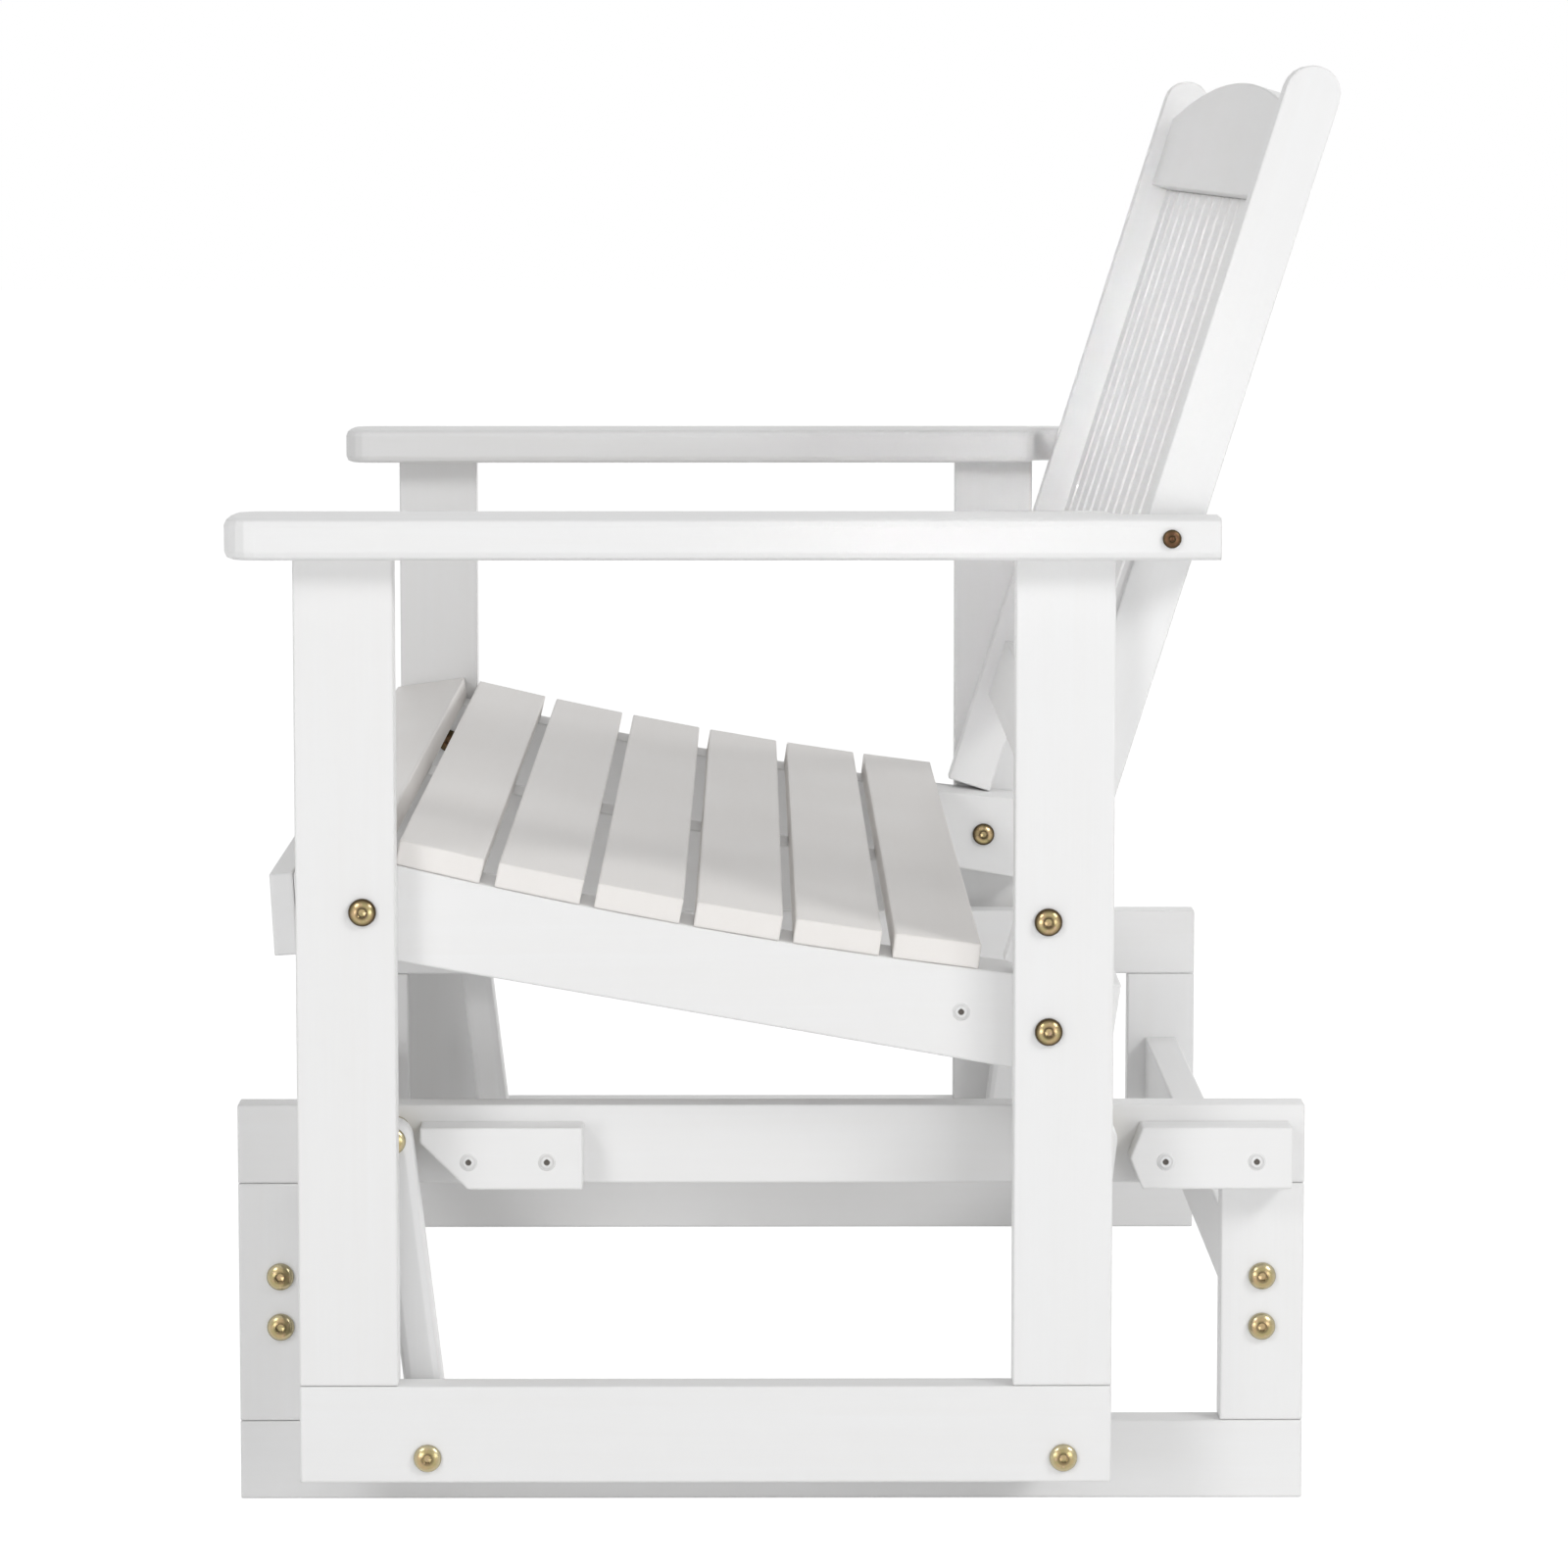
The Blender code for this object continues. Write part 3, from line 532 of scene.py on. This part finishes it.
def head_rings(radius, dome, socket):
    """Rings of a domed head with a hex socket, from the socket's floor out and down to its seat."""
    top = HEAD_RIM + dome
    lip = socket * SOCKET_LIP
    lip_angle = math.asin(lip / radius)
    lip_height = HEAD_RIM + dome * math.cos(lip_angle)
    floor_height = top - min(SOCKET_DEPTH, SOCKET_DEPTH_SHARE * top)
    rings = [
        (circle(socket * SOCKET_FLOOR), floor_height - SOCKET_CHAMFER),
        (hexagon(socket), floor_height),
        (hexagon(socket), lip_height - SOCKET_CHAMFER),
        (circle(lip), lip_height),
    ]
    for step in range(1, DOME_RINGS + 1):
        angle = lip_angle + (QUARTER - lip_angle) * step / DOME_RINGS
        rings.append((circle(radius * math.sin(angle)), HEAD_RIM + dome * math.cos(angle)))
    rings.append((circle(radius), HEAD_CHAMFER_RISE))
    rings.append((circle(radius - HEAD_CHAMFER), 0.0))
    return rings


def point_out(piece, direction, x, y, z):
    """Stand a piece at a point with its own +Z along +X or -X."""
    piece.matrix_world = Matrix.Translation((x, y, z)) @ Matrix.Rotation(direction * QUARTER, 4, "Y")


def frame_bolt(name, body, direction, x, y, z, material=zinc, radius=HEAD_RADIUS, dome=HEAD_DOME):
    """Domed bolt seated on a face, with a short shank into the wood."""
    rings = head_rings(radius, dome, SOCKET_REACH * radius / HEAD_RADIUS)
    rings.append((circle(SHANK_RADIUS), 0.0))
    rings.append((circle(SHANK_RADIUS), -SHANK_BITE))
    piece = turned(name, rings, material)
    point_out(piece, direction, x, y, z)
    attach(piece, body)


def pivot_bolt(name, body, side, head, lengths, nut=None):
    """Finer bolt in place of a plain one: lengths give (radius, inner end) from the head inwards."""
    low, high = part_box(name)
    rings = head_rings(HEAD_RADIUS, PIVOT_DOME, SOCKET_REACH)
    start = 0.0
    for radius, end in lengths:
        rings.append((circle(radius), start))
        start = end - head
        rings.append((circle(radius), start))
    if nut:
        seat = nut - head
        rings[-1] = (circle(SHANK_RADIUS), seat)
        rings += [
            (hexagon(NUT_REACH), seat),
            (hexagon(NUT_REACH), seat - NUT_LENGTH * NUT_FLATS),
            (circle(NUT_REACH * NUT_COLLAR_FOOT), seat - NUT_LENGTH * NUT_COLLAR_START),
            (circle(NUT_REACH * NUT_COLLAR_TOP), seat - NUT_LENGTH),
            (circle(SHANK_RADIUS), seat - NUT_LENGTH),
            (circle(SHANK_RADIUS), start + SHANK_CHAMFER),
        ]
    rings.append((circle(SHANK_RADIUS - SHANK_CHAMFER), start))
    piece = turned(f"{name}_fine", rings, zinc)
    point_out(piece, side, side * head, (low.y + high.y) / 2, (low.z + high.z) / 2)
    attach(piece, body)
    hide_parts(name)


def painted_screw(name, body, side, x, y, z):
    """Painted screw with a cross recess, its head a little proud inside a filled rim."""
    rings = [(cross(arm, half_width), height) for arm, half_width, height in SCREW_CROSSES]
    rings += [(circle(radius), height) for radius, height in SCREW_CIRCLES]
    piece = turned(name, rings, screw_paint)
    point_out(piece, side, x, y, z)
    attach(piece, body)


# Inner and outer faces of the layers across the width, on the left side
base_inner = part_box("base_post_front_left")[0].x
base_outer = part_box("base_post_front_left")[1].x
link_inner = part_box("front_link_left")[0].x
link_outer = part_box("front_link_left")[1].x
stringer_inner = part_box("seat_stringer_left")[0].x
stringer_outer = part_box("seat_stringer_left")[1].x
leg_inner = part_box("leg_front_left")[0].x
leg_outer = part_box("leg_front_left")[1].x

# Pivot bolts, each with its collar, and on the lower ones the lock nut
nut_seat = link_inner - SEAT_GAP
for side_name, side in SIDES:
    for end_name in ENDS:
        pivot_bolt(
            f"upper_pivot_bolt_{end_name}_{side_name}", "base", side, link_outer + SEAT_GAP,
            (
                (SHANK_RADIUS, link_inner - SEAT_GAP),
                (COLLAR_RADIUS, base_outer + SEAT_GAP),
                (SHANK_RADIUS, base_inner + BOLT_END_RECESS),
            ),
        )
        pivot_bolt(
            f"lower_pivot_bolt_{end_name}_{side_name}", "seat", side, leg_outer + SEAT_GAP,
            (
                (SHANK_RADIUS, leg_inner - SEAT_GAP),
                (COLLAR_RADIUS, link_outer + SEAT_GAP),
                (SHANK_RADIUS, nut_seat - NUT_LENGTH - NUT_THREAD_SHOW),
            ),
            nut_seat,
        )

# Stretcher bolts on the base posts
for side_name, side in SIDES:
    for end_name in ENDS:
        low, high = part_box(f"base_post_{end_name}_{side_name}")
        for level, height in STRETCHER_BOLT_HEIGHTS:
            frame_bolt(
                f"stretcher_bolt_{end_name}_{side_name}_{level}", "base", side,
                side * (base_outer + SEAT_GAP), (low.y + high.y) / 2, height,
            )

# Frame bolts on the legs, with the sleeve nuts of two of them on the stringers' inner faces
# Each row: the bolt's place, its leg, metres behind the leg's front, height, and its sleeve nut's plating;
# the front nut's dark bronze is painted shade for the shaded gap it sits in
LEG_BOLTS = (
    ("front", "front", 0.0420, 0.3937, bronze),
    ("rear_upper", "rear", 0.0212, 0.3872, None),
    ("rear_lower", "rear", 0.0217, 0.3176, zinc_painted_dark_rim),
)
for side_name, side in SIDES:
    for place, leg, setback, height, sleeve in LEG_BOLTS:
        bolt_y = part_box(f"leg_{leg}_{side_name}")[0].y + setback
        frame_bolt(
            f"leg_bolt_{place}_{side_name}", "seat", side,
            side * (leg_outer + SEAT_GAP), bolt_y, height, zinc_painted_dark_rim,
        )
        if sleeve:
            frame_bolt(
                f"sleeve_nut_{place}_{side_name}", "seat", -side,
                side * (stringer_inner - SEAT_GAP), bolt_y, height, sleeve,
            )

# Arm bolts through the tails into the back posts
arm_low, arm_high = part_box("arm_left")
arm_bolt_y = arm_high.y - ARM_BOLT_INSET
arm_bolt_z = (arm_low.z + arm_high.z) / 2 + ARM_BOLT_LIFT
for side_name, side in SIDES:
    frame_bolt(
        f"arm_bolt_{side_name}", "seat", side, side * (arm_high.x + SEAT_GAP), arm_bolt_y, arm_bolt_z,
        bronze, ARM_BOLT_RADIUS, ARM_BOLT_DOME,
    )

# Screws of the stop blocks and of the seat's cross rail
rail_low, rail_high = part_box("base_top_rail_left")
cross_rail_low, cross_rail_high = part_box("seat_cross_rail")
cross_rail_y = (cross_rail_low.y + cross_rail_high.y) / 2
for side_name, side in SIDES:
    for place, setback in STOP_SCREW_SETBACKS:
        painted_screw(
            f"stop_screw_{place}_{side_name}", "base", side,
            side * rail_high.x, rail_low.y + setback, STOP_SCREW_HEIGHT,
        )
    painted_screw(
        f"cross_rail_screw_{side_name}", "seat", side,
        side * stringer_outer, cross_rail_y, CROSS_RAIL_SCREW_HEIGHT,
    )


def seen_or_lit(tree, seen, lit, output):
    """Give an output one shader for camera, glossy and transmission rays, and another for the rest."""
    rays = node(tree, "ShaderNodeLightPath")
    flag = math_node(tree, "MAXIMUM", rays.outputs["Is Camera Ray"], rays.outputs["Is Glossy Ray"])
    flag = math_node(tree, "MAXIMUM", flag, rays.outputs["Is Transmission Ray"])
    choice = node(tree, "ShaderNodeMixShader")
    tree.links.new(flag, choice.inputs["Fac"])
    tree.links.new(lit.outputs[0], choice.inputs[1])
    tree.links.new(seen.outputs[0], choice.inputs[2])
    tree.links.new(choice.outputs[0], tree.nodes[output].inputs["Surface"])


def matt(tree, albedo):
    """Grey diffuse shader."""
    made = node(tree, "ShaderNodeBsdfDiffuse")
    made.inputs["Color"].default_value = (albedo, albedo, albedo, 1.0)
    return made


# Floor
floor_mesh = bpy.data.meshes.new("floor")
floor_shape = bmesh.new()
bmesh.ops.create_grid(floor_shape, x_segments=1, y_segments=1, size=FLOOR_HALF)
floor_shape.to_mesh(floor_mesh)
floor_shape.free()
floor = bpy.data.objects.new("floor", floor_mesh)
floor.location.z = FLOOR_LEVEL
bpy.context.scene.collection.objects.link(floor)
floor_paint, floor_tree, floor_shader = principled("pale_floor")
floor_tree.nodes.remove(floor_shader)
glow = node(floor_tree, "ShaderNodeEmission")
glow.inputs["Strength"].default_value = FLOOR_SEEN_GLOW
seen_floor = node(floor_tree, "ShaderNodeAddShader")
floor_tree.links.new(matt(floor_tree, FLOOR_SEEN_ALBEDO).outputs[0], seen_floor.inputs[0])
floor_tree.links.new(glow.outputs[0], seen_floor.inputs[1])
seen_or_lit(floor_tree, seen_floor, matt(floor_tree, FLOOR_ALBEDO), "Material Output")
floor_mesh.materials.append(floor_paint)

# Sky
world = bpy.data.worlds.new("studio")
world.use_nodes = True
bpy.context.scene.world = world
sky = world.node_tree
ambient = sky.nodes["Background"]
backdrop = node(sky, "ShaderNodeBackground")
for background, strength in ((ambient, SKY_STRENGTH), (backdrop, BACKDROP_STRENGTH)):
    background.inputs["Color"].default_value = WHITE
    background.inputs["Strength"].default_value = strength
seen_or_lit(sky, backdrop, ambient, "World Output")

# Lamps
for name, place, target, size, power, spread in LAMPS:
    light = bpy.data.lights.new(name, "AREA")
    light.shape = "SQUARE"
    light.size = size
    light.energy = power
    light.spread = math.radians(spread)
    lamp = bpy.data.objects.new(name, light)
    lamp.location = place
    lamp.rotation_euler = (Vector(target) - Vector(place)).to_track_quat("-Z", "Y").to_euler()
    bpy.context.scene.collection.objects.link(lamp)

# Camera
view = bpy.data.cameras.new("photo_view")
view.sensor_width = CAMERA_SENSOR
view.lens = CAMERA_LENS
camera = bpy.data.objects.new("photo_view", view)
camera.location = CAMERA_PLACE
camera.rotation_euler = [math.radians(angle) for angle in CAMERA_TURN]
bpy.context.scene.collection.objects.link(camera)
bpy.context.scene.camera = camera
bpy.context.scene.view_settings.view_transform = "Standard"
